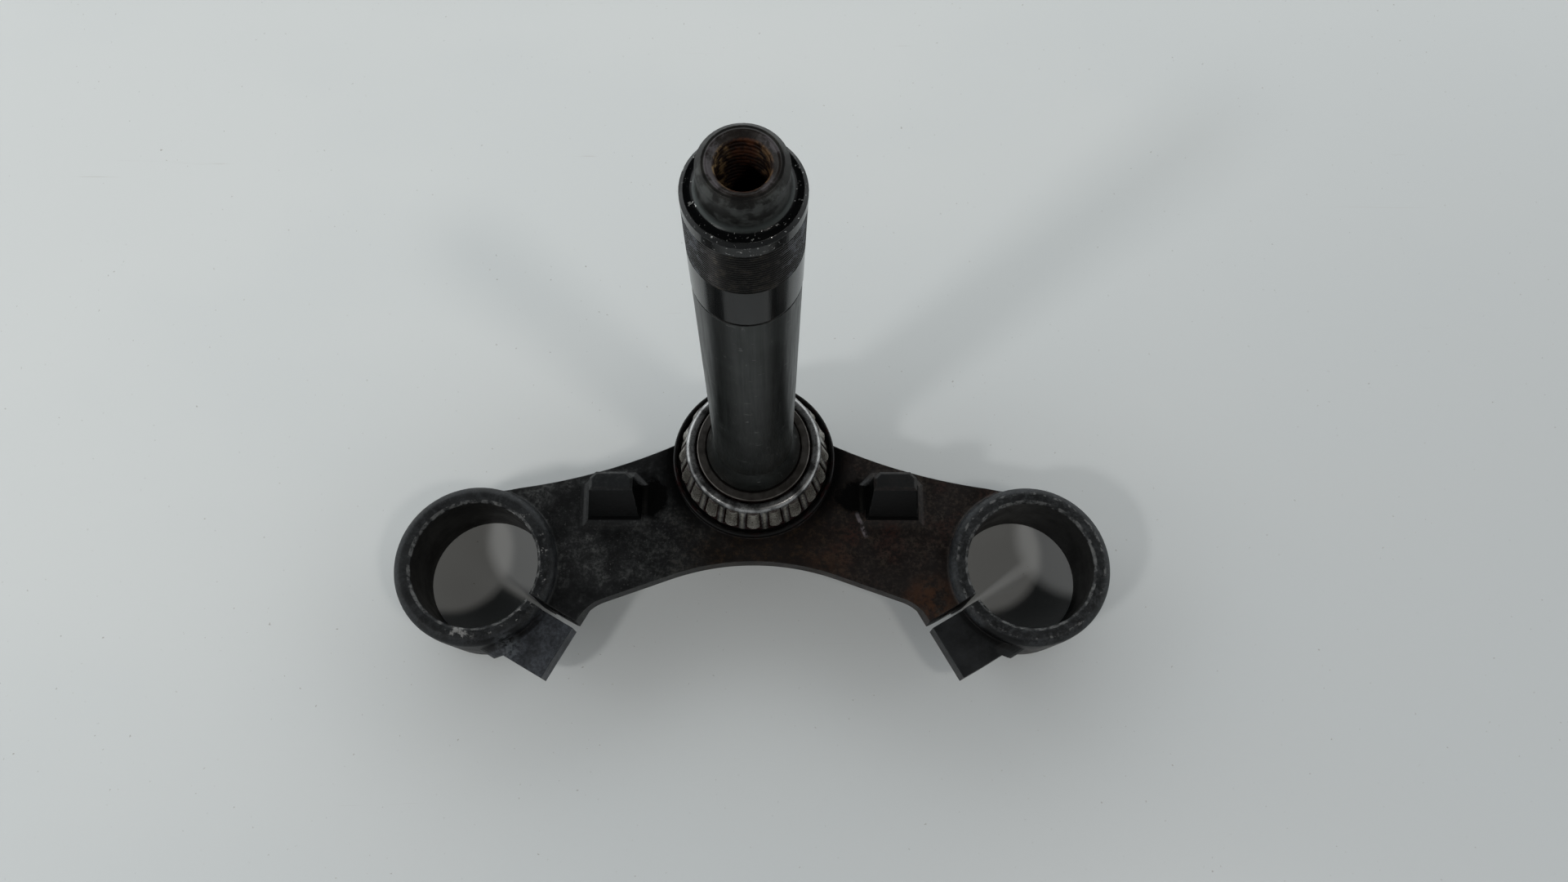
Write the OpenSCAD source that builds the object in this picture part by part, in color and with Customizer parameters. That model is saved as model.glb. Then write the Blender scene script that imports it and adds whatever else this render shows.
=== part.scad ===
// Lower triple clamp of a motorcycle: a cast yoke with two fork rings, a hollow
// steering stem pressed into its hub, and the lower taper roller bearing with
// its washer and dust seal. Millimetres. The stem runs along +Z, X runs across
// the two forks, and the fork tubes stand on the -Y side. The origin is where
// the stem's axis meets the underside.

/* [Fork clamps] */
// Distance between the two fork tube centres
fork_spacing = 180; // [170:1:210]
// How far the fork tubes stand in front of the stem
fork_offset = 36; // [33:0.5:42]
// Diameter of the fork tube bores
fork_bore_d = 41; // [37:0.5:43]
// Wall of the fork rings at the underside
ring_wall = 4.7; // [4:0.1:7]
// How far the rings' walls lean out from the underside to the parting line
ring_draft = 1; // [0.2:0.1:1.5]
// Height of the parting line, where the rings are widest
ring_part = 24; // [20:0.5:25]
// Height of the fork rings
ring_h = 30; // [28.5:0.5:38]
// Chamfer at the mouths of the fork bores
bore_chamfer = 0.8; // [0.4:0.1:1.8]
// Rounding of the fork rings' upper outer edge
ring_edge = 3; // [0.5:0.1:3.5]
// Fillet where the arm's top meets a fork ring
ring_fillet = 4; // [2:0.5:6]

/* [Pinch lugs] */
// Angle of the clamp slots, inwards and forwards from straight across
slot_angle = 30; // [24:1:36]
// Width of the clamp slots
slot_w = 2.2; // [1:0.1:3.5]
// Wall left between the fork bore and the pinch bolt hole
pinch_wall = 4.3; // [3:0.1:8]
// Diameter of the pinch bolt's clearance hole
pinch_clear_d = 8.5; // [6.5:0.1:10.5]
// Diameter of the pinch bolt's tapped hole, at the thread's crests
pinch_tap_d = 6.8; // [5:0.1:8.4]
// Depth of the tapped hole from the middle of the slot
pinch_tap_depth = 19; // [12:0.5:22]
// Diameter of the spot face under the bolt head, also the lug's height
spot_d = 17; // [14:0.5:19]
// Distance from the middle of the slot to the spot face
lug_out = 19.5; // [17:0.5:21]
// Room that the spot face's cut leaves round the bolt head's seat
spot_clear = 1.1; // [0.3:0.1:1.5]
// How far the fairing stands past the spot face
fairing_proud = 2.3; // [0.5:0.1:3]
// Rounding of the fairing's upper outer edge
fairing_round = 5.5; // [2:0.5:6]
// Height of the lug's top face
lug_top = 25; // [22:0.5:26]
// How far the lug's flat top reaches from the bolt towards the ring
lug_flat = 5; // [3:0.5:6]

/* [Arms] */
// Height of the arms' top face
arm_top = 26; // [25:0.5:28]
// Thickness of the arm plate
arm_t = 7; // [5:0.5:10]
// Angle on the hub where the back edge of an arm starts
arm_back_angle = 12; // [6:1:20]
// Radius of the hollow back edge
arm_back_r = 187; // [150:1:300]
// Distance from the fork ring's foot to the back edge, measured straight back
arm_back_gap = 1.2; // [0.5:0.1:2]
// How far inwards of the fork tube's centre the back edge ends
arm_back_in = 12.2; // [8:0.2:16]
// Distance from the stem's axis to the middle of the front arch
arch_y = 34.2; // [31:0.2:38]
// Radius of the front arch
arch_r = 82; // [70:1:100]
// Angle at which the front arch runs out into straight flanks
arch_angle = 19.5; // [16:0.5:22]
// Radius where a flank turns down to the pinch lug
corner_r = 14; // [5:1:20]
// Width of the rib under each arm
rib_w = 12; // [6:1:20]
// Height of the rib's feet above the underside
rib_foot = 3; // [1:0.5:6]
// How far the rib's lower edge arches up
rib_rise = 7; // [2:0.5:9]

/* [Hub] */
// Radius of the hub under the bearing
hub_r = 26.6; // [26.4:0.1:30]
// Radius of the hub at the underside
hub_foot_r = 22; // [19:0.5:25]
// Height of the machined face above the arms
boss_h = 0.6; // [0.3:0.1:1.5]

/* [Steering stops] */
// Distance of a steering stop from the middle
stop_x = 45.6; // [42:0.2:50]
// Width of a stop's top face
stop_w = 13.8; // [8:0.2:16]
// Place of the top face's back edge behind the stem's axis
stop_back = -7.9; // [-10:0.1:-7]
// Depth of the top face, front to back
stop_d = 6.2; // [4:0.1:9]
// Height of a stop above the arm
stop_h = 15; // [9:0.5:18]
// How far the front face leans out at its foot
stop_lean = 6; // [2:0.5:8]
// How far the side faces lean out at their feet
stop_draft = 1.2; // [0.5:0.1:2]
// Fillet round the foot of a stop
stop_fillet = 3.6; // [1:0.2:4]
// Bevel round a stop's top face
stop_edge = 0.9; // [0.3:0.1:1.5]
// Cut across the two corners at a stop's back
stop_corner = 2; // [0.5:0.1:3]

/* [Steering stem] */
// Diameter of the stem where it is pressed into the hub
press_d = 32; // [31:0.5:36]
// Diameter of the plain tube
tube_d = 24.8; // [22:0.1:24.9]
// Diameter of the upper bearing seat and of the thread outside
seat_d = 25; // [24.6:0.1:26.5]
// Diameter of the spigot at the top
nose_d = 18; // [16:0.5:19]
// Bore of the stem from below
stem_bore_d = 18; // [14:0.5:19]
// Bore of the head bolt's thread, at its crests
head_bore_d = 10.8; // [9:0.1:12]
// Length of the head bolt's thread
head_thread_len = 35.8; // [20:0.2:45]
// Height of the groove below the upper bearing seat
groove_z = 171; // [160:1:185]
// Width of that groove
groove_w = 1.2; // [0.6:0.1:2]
// Depth of that groove
groove_depth = 0.5; // [0.3:0.1:1]
// Length of the upper bearing seat
seat_len = 16; // [12:0.5:20]
// Number of turns of the fine thread
thread_turns = 17; // [10:1:24]
// Pitch of the fine thread
thread_pitch = 1; // [0.75:0.25:1.5]
// Depth of the fine thread
thread_depth = 0.55; // [0.3:0.05:0.8]
// Plain land above the thread
land_len = 4.3; // [2:0.1:8]
// Length of the spigot
nose_len = 9.3; // [6:0.1:14]
// Hollow fillet at the spigot's foot
nose_fillet = 1.8; // [0.5:0.1:2.2]
// Chamfer at the spigot's mouth and rim
nose_chamfer = 1.2; // [0.4:0.1:1.4]
// Length of the cone above the lower bearing
flare_len = 8; // [5:0.5:14]

/* [Lower bearing] */
// Bore of the bearing
bearing_bore_d = 30; // [29:0.5:30.5]
// Width of the inner ring
cone_w = 14.6; // [14.4:0.1:16]
// Radius of the circle through the rollers' middles
pitch_r = 20.9; // [20.6:0.1:21.2]
// Tilt of the rollers towards the stem
roller_tilt = 12.5; // [10:0.5:14]
// Diameter of a roller at its middle
roller_d = 5.2; // [4.8:0.1:5.3]
// Length of a roller
roller_len = 10.4; // [9:0.1:10.6]
// Rounding of the rollers' ends
roller_edge = 0.35; // [0.2:0.05:0.5]
// Running clearance between a roller and the inner ring's race
race_gap = 0.05; // [0.02:0.01:0.1]
// Clearance between a roller's ends and the ribs or the cage
end_gap = 0.15; // [0.1:0.05:0.3]
// Height of the rib at the rollers' large ends
big_rib = 1.9; // [1:0.1:2.2]
// Height of the rib at the rollers' small ends
small_rib = 0.9; // [0.5:0.1:1.2]
// Thickness of the cage's sheet
cage_t = 0.8; // [0.5:0.1:1]
// Distance from the rollers' axes out to the cage's inner face
cage_out = 1.3; // [1:0.1:1.5]
// Clearance between the cage's windows and the rollers
cage_gap = 0.1; // [0.05:0.05:0.15]
// Width of the cage's rims past the windows
cage_rim = 1.3; // [0.8:0.1:1.4]
// Clearance between the cage's inner lip and the inner ring
lip_gap = 0.6; // [0.3:0.1:1]

/* [Seal] */
// Thickness of the washer under the bearing
washer_t = 1.2; // [1:0.1:2]
// Outer diameter of the washer
washer_d = 41; // [38:0.5:44]
// Outer diameter of the dust seal
seal_d = 53.6; // [53.2:0.1:56]
// Height of the dust seal's lip
seal_h = 3.1; // [2:0.1:3.6]
// Thickness of the seal's floor
seal_floor = 0.9; // [0.6:0.1:1.1]
// Thickness of the seal's lip
seal_lip = 1.5; // [1:0.1:1.6]

/* [Hidden] */
$fn = 96;
// Number of rollers in the cage: one node each
roller_count = 20;

// Overlap by which one shape of a casting reaches into the next
bite = 1;
// Overshoot of a cutting shape past the surface that it leaves
past = 2;
// Run-out of the tapped hole past its boss
tap_runout = 0.2;
// Bevel of fine machined edges
fine_bevel = 0.3;
// Bevel of the dust seal's lower edge
seal_bevel = 0.5;
// Bevel at the bore and at the large end of the inner ring
race_bevel = 0.6;
// Bevel of the land above the stem's thread
land_bevel = 0.8;
// Rounding-off of the hub's edges, as cast
hub_edge = 1;
// Slope of the flanks of the stem's groove
groove_flank = 0.25;
// Share of the thread's pitch that half a crest takes
half_crest = 0.1;
// How far the stem's lower bearing seat reaches above the bearing
seat_over = 1;
// How far the rollers' middles stand above the middle of the inner ring
roller_rise = 0.1;
// Angle on a fork ring where the arm's plan is closed
ring_join = 100;
// Rounding of the fork rings' lower outer edge
ring_foot_edge = 1;

fork_r = fork_bore_d / 2;
ring_foot_r = fork_r + ring_wall;
ring_r = ring_foot_r + ring_draft;
fork_x = fork_spacing / 2;
fork_pos = [fork_x, -fork_offset];
bolt_u = fork_r + pinch_wall + pinch_clear_d / 2;
lug_reach = bolt_u + spot_d / 2;
bolt_z = lug_top - spot_d / 2;
lug_under = bolt_z - spot_d / 2;
arm_under = arm_top - arm_t;

seat_z = arm_top + boss_h;
bearing_z = seat_z + washer_t;
bearing_top = bearing_z + cone_w;
cone_start = bearing_top + seat_over;
cone_end = cone_start + flare_len;
seat_start = groove_z + groove_w;
seat_end = seat_start + seat_len;
thread_end = seat_end + thread_turns * thread_pitch;
shoulder_z = thread_end + land_len;
nose_z = shoulder_z + nose_len;
bore_cone = (stem_bore_d - head_bore_d) / 2;
bore_end = nose_z - nose_chamfer - head_thread_len - bore_cone;

// The rollers' cones, the races and the pitch cone meet in one point on the stem's axis
apex = pitch_r / sin(roller_tilt);
roller_half = asin(roller_d / 2 / apex);
race_angle = roller_tilt - roller_half;
roller_mid_z = bearing_z + cone_w / 2 + roller_rise;
apex_z = roller_mid_z + pitch_r / tan(roller_tilt);

function roller_name(i) = str("roller_", i < 10 ? "0" : "", i);
function polar(r, a) = [r * cos(a), r * sin(a)];
function unit(v) = v / norm(v);
function arc(c, r, a0, a1, n) = [for (i = [0:n]) c + polar(r, a0 + (a1 - a0) * i / n)];
function angle_of(v) = atan2(v[1], v[0]);
function cross2(a, b) = a[0] * b[1] - a[1] * b[0];
// Centre of the circle of radius r through a and b, on the left of the way from a to b
function arc_centre(a, b, r) =
    let (half = norm(b - a) / 2, way = unit(b - a))
    (a + b) / 2 + [-way[1], way[0]] * sqrt(r * r - half * half);
// Point where the line from p along d meets the line from q along e
function meet(p, d, q, e) = p + d * cross2(q - p, e) / cross2(d, e);
// Rounded corner at p between the ways to a and b
function corner(p, a, b, r, n) =
    let (
        ua = unit(a - p),
        ub = unit(b - p),
        half = acos(ua * ub) / 2,
        room = 0.9 * min(norm(a - p), norm(b - p)) * tan(half),
        rr = min(r, room),
        c = p + unit(ua + ub) * rr / sin(half),
        a0 = angle_of(p + ua * rr / tan(half) - c),
        a1 = angle_of(p + ub * rr / tan(half) - c),
        turn = a1 - a0 > 180 ? a1 - a0 - 360 : a1 - a0 < -180 ? a1 - a0 + 360 : a1 - a0
    )
    arc(c, rr, a0, a0 + turn, n);
// Place in the meridian plane: s along a roller's axis downwards, o out from the axis
function along(s, o) = [
    pitch_r + s * sin(roller_tilt) + o * cos(roller_tilt),
    roller_mid_z - s * cos(roller_tilt) + o * sin(roller_tilt)
];
// Radius of a roller at s along its axis
function roller_r(s) = (apex + s) * tan(roller_half);
// Radius of the inner race at height z
function race_r(z) = (apex_z - z) * tan(race_angle) - race_gap / cos(race_angle);

module both_sides() {
    children();
    mirror([1, 0, 0]) children();
}

// Frame of the right fork ring: X out along the slot, Y across it to the lug's outer face
module slot_frame() {
    translate(fork_pos) rotate([0, 0, 180 + slot_angle]) children();
}

// Frame with Z along the pinch bolt, towards its head, from the middle of the slot
module bolt_frame() {
    slot_frame() translate([bolt_u, 0, bolt_z]) rotate([-90, 0, 0]) children();
}

slot_way = polar(1, 180 + slot_angle);
across_way = polar(1, 90 + slot_angle);
arch_end = [arch_r * sin(arch_angle), -arch_y - arch_r * (1 - cos(arch_angle))];
lug_corner = fork_pos + slot_way * lug_reach;
flank_meet = meet(arch_end, polar(1, -arch_angle), lug_corner, across_way);
back_start = polar(hub_r, arm_back_angle);
back_end = fork_pos + [-arm_back_in, ring_foot_r + arm_back_gap];
back_centre = arc_centre(back_start, back_end, arm_back_r);

// Plan of the right arm
module arm_plan() {
    a0 = angle_of(back_start - back_centre);
    a1 = angle_of(back_end - back_centre);
    polygon(concat(
        [[0, 0]],
        arc(back_centre, arm_back_r, a0, a1, 16),
        [fork_pos + polar(ring_foot_r, ring_join)],
        [fork_pos],
        [lug_corner],
        corner(flank_meet, lug_corner, arch_end, corner_r, 8),
        arc([0, -arch_y - arch_r], arch_r, 90 - arch_angle, 90, 14)
    ));
}

// Right fork ring, still without its bore
module ring_body() {
    translate(fork_pos)
    rotate_extrude()
    polygon(concat(
        [[0, 0]],
        arc([ring_foot_r - ring_foot_edge, ring_foot_edge], ring_foot_edge, -90, 0, 4),
        [[ring_r, ring_part]],
        arc([ring_r - ring_edge, ring_h - ring_edge], ring_edge, 0, 90, 8),
        [[0, ring_h]]
    ));
}

// Hollow fillet from the arm's top up to the right fork ring
module ring_foot() {
    rise = max(fine_bevel, min(ring_fillet, ring_h - ring_edge - arm_top));
    intersection() {
        translate(fork_pos)
        rotate_extrude()
        polygon(concat(
            [[ring_r - bite, arm_top - bite]],
            [[ring_r + rise, arm_top - bite]],
            arc([ring_r + rise, arm_top + rise], rise, 270, 180, 6),
            [[ring_r - bite, arm_top + rise]]
        ));
        translate([0, 0, arm_top - 2 * bite]) linear_extrude(ring_h) arm_plan();
    }
}

// Section of a pinch lug, seen along the bolt: flat on top, round below the bolt
module lug_section(top) {
    translate([bolt_u, bolt_z]) circle(d = spot_d);
    translate([bolt_u - lug_flat, bolt_z]) square([lug_flat + spot_d / 2, top - bolt_z]);
}

// Outer lug of the right clamp, from the slot's middle to the spot face
module outer_lug() {
    slot_frame() rotate([90, 0, 0]) mirror([0, 0, 1]) linear_extrude(lug_out) lug_section(lug_top);
}

// Boss under the arm that holds the pinch bolt's thread
module inner_lug() {
    top = arm_top - bite;
    slot_frame() rotate([90, 0, 0]) linear_extrude(pinch_tap_depth) {
        lug_section(top);
        translate([fork_r / 2, lug_under]) square([bolt_u - fork_r / 2, top - lug_under]);
    }
}

// Web from the ring to the outer lug, rounded over on its outer side and drawn in below
module fairing() {
    side = lug_out + fairing_proud;
    widest = lug_top - fairing_round;
    low_r = widest - lug_under;
    slot_frame()
    translate([fork_r / 2, 0, 0])
    rotate([90, 0, 90])
    linear_extrude(bolt_u - fork_r / 2)
    polygon(concat(
        [[0, lug_top], [0, lug_under]],
        arc([side - low_r, widest], low_r, -90, 0, 8),
        arc([side - fairing_round, widest], fairing_round, 15, 90, 5)
    ));
}

// Rib under the right arm, from the hub to the fork ring
module arm_rib() {
    run = norm(fork_pos);
    from = hub_foot_r - 3;
    to = run - ring_r + 2;
    rotate([0, 0, angle_of(fork_pos)])
    translate([0, rib_w / 2, 0])
    rotate([90, 0, 0])
    linear_extrude(rib_w)
    polygon(concat(
        [[from, arm_under + bite]],
        [for (i = [0:12]) [from + (to - from) * i / 12, rib_foot + rib_rise * sin(180 * i / 12)]],
        [[to, arm_under + bite]]
    ));
}

// All that lies within one side of a stop. The side faces along +X, turned by the given
// angle, and leans out to a fillet at its foot.
module stop_side(turn, reach, lean) {
    top = arm_top + stop_h;
    foot = reach + lean + stop_fillet;
    span = stop_w + stop_d + 2 * (stop_lean + stop_fillet);
    rotate([0, 0, turn])
    rotate([90, 0, 0])
    linear_extrude(2 * span, center = true)
    polygon(concat(
        [[-span, top], [-span, arm_top - bite], [foot, arm_top - bite]],
        arc([foot, arm_top + stop_fillet], stop_fillet, 270, 180, 5),
        [[reach, top - stop_edge], [reach - stop_edge, top]]
    ));
}

// Steering stop on the right arm, cut off flush with the arm's back edge
module steering_stop() {
    half_w = stop_w / 2;
    half_d = stop_d / 2;
    diagonal = (half_w + half_d - stop_corner) / sqrt(2);
    intersection() {
        linear_extrude(arm_top + stop_h + past) arm_plan();
        translate([stop_x, stop_back - half_d, 0])
        intersection() {
            stop_side(0, half_w, stop_draft);
            stop_side(180, half_w, stop_draft);
            stop_side(90, half_d, stop_draft);
            stop_side(270, half_d, stop_lean);
            stop_side(45, diagonal, stop_draft);
            stop_side(135, diagonal, stop_draft);
        }
    }
}

// Hub with its machined face on top
module hub_body() {
    rotate_extrude()
    polygon([
        [0, 0],
        [hub_foot_r - hub_edge, 0],
        [hub_foot_r, hub_edge],
        [hub_r - hub_edge, arm_under],
        [hub_r, arm_under + hub_edge],
        [hub_r, seat_z - fine_bevel],
        [hub_r - fine_bevel, seat_z],
        [0, seat_z]
    ]);
}

// Bore of the right fork ring, with its chamfers and slot
module fork_bore() {
    translate(fork_pos) {
        translate([0, 0, -past]) cylinder(r = fork_r, h = ring_h + 2 * past);
        rotate_extrude() polygon([
            [0, -bite],
            [fork_r + bore_chamfer + bite, -bite],
            [fork_r, bore_chamfer],
            [0, bore_chamfer]
        ]);
        rotate_extrude() polygon([
            [0, ring_h + bite],
            [fork_r + bore_chamfer + bite, ring_h + bite],
            [fork_r, ring_h - bore_chamfer],
            [0, ring_h - bore_chamfer]
        ]);
    }
    slot_frame()
    translate([0, -slot_w / 2, -past])
    cube([lug_reach + past, slot_w, ring_h + 2 * past]);
}

// Pinch bolt's holes and spot face on the right side
module pinch_holes() {
    bolt_frame() {
        cylinder(d = pinch_clear_d, h = lug_out + past);
        translate([0, 0, lug_out]) cylinder(r = spot_d / 2 + spot_clear, h = fairing_proud + past);
        translate([0, 0, -pinch_tap_depth - tap_runout])
        cylinder(d = pinch_tap_d, h = pinch_tap_depth + tap_runout + bite);
    }
}

module yoke() {
    color([0.07, 0.07, 0.075])
    difference() {
        union() {
            both_sides() {
                translate([0, 0, arm_under]) linear_extrude(arm_t) arm_plan();
                ring_body();
                ring_foot();
                outer_lug();
                inner_lug();
                fairing();
                arm_rib();
                steering_stop();
            }
            hub_body();
        }
        both_sides() {
            fork_bore();
            pinch_holes();
        }
        translate([0, 0, -past]) cylinder(d = press_d, h = seat_z + 2 * past);
    }
}

// Outline of the fine thread, one notch for each turn, from its lower end
function thread_notches() = [
    for (i = [0:thread_turns - 1], place = [[half_crest, 0], [0.5, 1], [1 - half_crest, 0]])
    [seat_d / 2 - thread_depth * place[1], seat_end + (i + place[0]) * thread_pitch]
];

module steering_stem() {
    tube_r = tube_d / 2;
    seat_r = seat_d / 2;
    nose_r = nose_d / 2;
    head_r = head_bore_d / 2;
    bore_r = stem_bore_d / 2;
    color([0.12, 0.125, 0.135])
    rotate_extrude()
    polygon(concat(
        [
            [bore_r, 0],
            [press_d / 2, 0],
            [press_d / 2, seat_z],
            [bearing_bore_d / 2, seat_z],
            [bearing_bore_d / 2, cone_start],
            [tube_r, cone_end],
            [tube_r, groove_z],
            [tube_r - groove_depth, groove_z + groove_flank],
            [tube_r - groove_depth, seat_start - groove_flank],
            [seat_r, seat_start]
        ],
        thread_notches(),
        [
            [seat_r, shoulder_z - land_bevel],
            [seat_r - land_bevel, shoulder_z]
        ],
        arc([nose_r + nose_fillet, shoulder_z + nose_fillet], nose_fillet, 270, 180, 6),
        [
            [nose_r, nose_z - nose_chamfer],
            [nose_r - nose_chamfer, nose_z],
            [head_r + nose_chamfer, nose_z],
            [head_r, nose_z - nose_chamfer],
            [head_r, bore_end + bore_cone],
            [bore_r, bore_end]
        ]
    ));
}

module seal_washer() {
    color([0.35, 0.35, 0.36])
    translate([0, 0, seat_z])
    difference() {
        cylinder(d = washer_d, h = washer_t);
        translate([0, 0, -past]) cylinder(d = bearing_bore_d, h = washer_t + 2 * past);
    }
}

module dust_seal() {
    r = seal_d / 2;
    color([0.03, 0.03, 0.03])
    translate([0, 0, seat_z])
    rotate_extrude()
    polygon(concat(
        [[washer_d / 2, 0], [r - seal_bevel, 0], [r, seal_bevel]],
        arc([r - seal_lip / 2, seal_h - seal_lip / 2], seal_lip / 2, 0, 180, 8),
        [[r - seal_lip, seal_floor], [washer_d / 2, seal_floor]]
    ));
}

module bearing_inner_ring() {
    bore_r = bearing_bore_d / 2;
    big_end = roller_len / 2 + end_gap;
    small_end = -roller_len / 2 - end_gap;
    // Where the roller's end faces, drawn out by their gaps, meet the race
    low = along(big_end, -roller_r(big_end) - race_gap);
    low_rim = along(big_end, -roller_r(big_end) - race_gap + big_rib);
    high = along(small_end, -roller_r(small_end) - race_gap);
    high_rim = along(small_end, -roller_r(small_end) - race_gap + small_rib);
    color([0.45, 0.42, 0.4])
    rotate_extrude()
    polygon([
        [bore_r, bearing_z],
        [low_rim[0] - race_bevel, bearing_z],
        [low_rim[0], bearing_z + race_bevel],
        low_rim,
        low,
        high,
        high_rim,
        [high_rim[0], bearing_top - fine_bevel],
        [high_rim[0] - fine_bevel, bearing_top],
        [bore_r + race_bevel, bearing_top],
        [bore_r, bearing_top - race_bevel]
    ]);
}

// Window for one roller, cut straight out from the roller's axis
module cage_window() {
    reach = roller_len / 2 + end_gap;
    half_big = sqrt(pow(roller_r(reach), 2) - cage_out * cage_out) + cage_gap;
    half_small = sqrt(pow(roller_r(-reach), 2) - cage_out * cage_out) + cage_gap;
    translate([pitch_r, 0, roller_mid_z])
    rotate([0, 90 - roller_tilt, 0])
    linear_extrude(cage_out + cage_t + past)
    polygon([[-reach, -half_small], [reach, -half_big], [reach, half_big], [-reach, half_small]]);
}

module bearing_cage() {
    low = roller_len / 2 + end_gap + cage_rim;
    lip_r = along(-roller_len / 2 - end_gap, -roller_r(-roller_len / 2) + small_rib)[0] + lip_gap;
    top_out = along(-low, cage_out + cage_t);
    // The upper rim rolls over from the windows' ends and turns down again at the inner lip
    roll = 2 * cage_t;
    roll_x = top_out[0] - roll * (1 - sin(roller_tilt)) / cos(roller_tilt);
    lip_roll = min(1.25 * cage_t, 0.9 * (roll_x - lip_r));
    color([0.6, 0.6, 0.6])
    difference() {
        rotate_extrude()
        polygon(concat(
            [along(low, cage_out), along(low, cage_out + cage_t)],
            arc([roll_x, top_out[1] - roll], roll, roller_tilt, 90, 7),
            arc([lip_r + lip_roll, top_out[1] - lip_roll], lip_roll, 90, 180, 5),
            [[lip_r + cage_t, top_out[1] - lip_roll]],
            arc([roll_x, top_out[1] - roll], roll - cage_t, 90, roller_tilt, 5)
        ));
        for (i = [0:roller_count - 1]) rotate([0, 0, i * 360 / roller_count]) cage_window();
    }
}

// Roller number i, with 1 on the +X side and the rest in turn round the stem
module roller(i) {
    half = roller_len / 2;
    r_big = roller_r(half);
    r_small = roller_r(-half);
    e = roller_edge;
    color([0.7, 0.7, 0.68])
    rotate([0, 0, (i - 1) * 360 / roller_count])
    translate([pitch_r, 0, roller_mid_z])
    rotate([0, -roller_tilt, 0])
    rotate_extrude($fn = 48)
    polygon([
        [0, -half], [r_big - e, -half], [r_big, -half + e],
        [r_small, half - e], [r_small - e, half], [0, half]
    ]);
}

yoke();
steering_stem();
seal_washer();
dust_seal();
bearing_inner_ring();
bearing_cage();
for (i = [1:roller_count]) roller(i);
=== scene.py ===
"""Looks of a motorcycle's lower triple clamp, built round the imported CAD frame.

Units are metres, in the CAD frame: the stem runs along +Z, X runs across the
two forks, and the fork tubes stand on the -Y side. Left is -X.
"""
import math

import bmesh
import bpy
from mathutils import Matrix, Vector


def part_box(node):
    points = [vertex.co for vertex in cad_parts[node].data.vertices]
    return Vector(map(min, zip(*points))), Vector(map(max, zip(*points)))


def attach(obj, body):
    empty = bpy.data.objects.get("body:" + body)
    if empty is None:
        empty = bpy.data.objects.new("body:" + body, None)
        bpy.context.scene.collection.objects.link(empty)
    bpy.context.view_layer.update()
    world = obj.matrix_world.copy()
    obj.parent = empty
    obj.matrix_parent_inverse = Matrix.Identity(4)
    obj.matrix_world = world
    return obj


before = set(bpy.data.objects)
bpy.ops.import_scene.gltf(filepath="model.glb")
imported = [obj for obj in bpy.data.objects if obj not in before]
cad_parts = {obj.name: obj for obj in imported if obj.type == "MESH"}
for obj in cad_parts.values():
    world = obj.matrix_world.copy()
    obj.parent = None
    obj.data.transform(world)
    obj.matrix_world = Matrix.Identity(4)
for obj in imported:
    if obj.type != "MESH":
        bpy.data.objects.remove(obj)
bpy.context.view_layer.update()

MM = 0.001


def mm(*values):
    """Millimetres as metres."""
    return tuple(value * MM for value in values)


# The photograph's camera, fitted to the object's edges
PHOTO_WIDTH_PX = 1920
PHOTO_FOCAL_PX = 1483.66
SENSOR_WIDTH_MM = 36
CAMERA_PLACE = mm(4.852, -114.748, 415.089)
CAMERA_TILT = math.radians(17.365)
CAMERA_ROLL = math.radians(-0.117)
CAMERA_PAN = math.radians(-0.765)

# Lamps, and the room's light by the sine of the height above the horizon
LAMP_DISTANCE = 1.6
LAMP_SIZE = 0.15
LAMP_AIM_HEIGHT = 50 * MM
WALL_TOP = 0.42
CEILING = 0.76
WALL_LIGHT = 2.85
CEILING_LIGHT = 0.03
ROOM_COLOUR = (0.95, 0.99, 1.0, 1)
FLOOR_HALF = 4.0

# The yoke
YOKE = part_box("yoke")
ARM_TOP = 26 * MM
RING_TOP = 30 * MM
STOP_TOP = 41 * MM
RING_R = 26.2 * MM
FORK_R = 20.5 * MM
FORK = (YOKE[1].x - RING_R, -36 * MM)
SLOT_TURN = math.radians(30)

# Places in plan, on both sides of the yoke
STOP = mm(45.6, -11.0)
BESIDE_STOP = mm(35.0, -12.2)
RING_FOOT = mm(79.5, -59.8)
LUG_SLOPE = mm(78.0, -62.5)

# Places in plan, on one side of the yoke
LEFT_OF_SEAL = mm(-26.0, -28.0)
LEFT_RING_FRONT = mm(-93.5, -58.5)
DARK_MIDDLE = mm(4.0, -34.0)
SPECKLED_MIDDLE = mm(4.0, -30.0)
RUST_AT_END = mm(57.5, -47.0)
RUST_BY_SEAL = mm(24.0, -34.0)
RED_BY_CHIP = mm(32.5, -26.0)
RED_BY_STOP = mm(45.0, -23.5)
CHIP_START = mm(34.0, -18.0)
CHIP_END = mm(36.9, -25.8)

# Heights on the stem, and the thread in its mouth
STEM_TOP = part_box("steering_stem")[1].z
GROOVE_LOW = 171.0 * MM
SEAT_LOW = 172.2 * MM
SEAT_HIGH = 188.2 * MM
THREAD_HIGH = 205.2 * MM
SHOULDER = 209.5 * MM
HEAD_BORE_R = 5.4 * MM
HEAD_THREAD_LOW = 196.0 * MM
HEAD_THREAD_HIGH = 217.2 * MM
HEAD_THREAD_PITCH = 1.25 * MM
HEAD_THREAD_RISE = 0.28 * MM
HEAD_THREAD_SINK = 0.05 * MM
HEAD_THREAD_STEPS = 48

# The bearing, with the cone on which the rollers' axes lie
ROLLER_TILT = math.radians(12.5)
ROLLER_PITCH_R = 20.9 * MM
ROLLER_MID = 35.2 * MM
ROLLER_TAPER = 0.027
UNDER_RIM = 39.6 * MM
ROLLER_COUNT = sum(name.startswith("roller_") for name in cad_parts)
BAR_HALF = 0.9 * MM
RACE_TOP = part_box("bearing_inner_ring")[1].z
CAGE_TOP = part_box("bearing_cage")[1].z
CAGE_FOOT = 28.0 * MM
CAGE_LIP_R = 18.3 * MM

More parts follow.
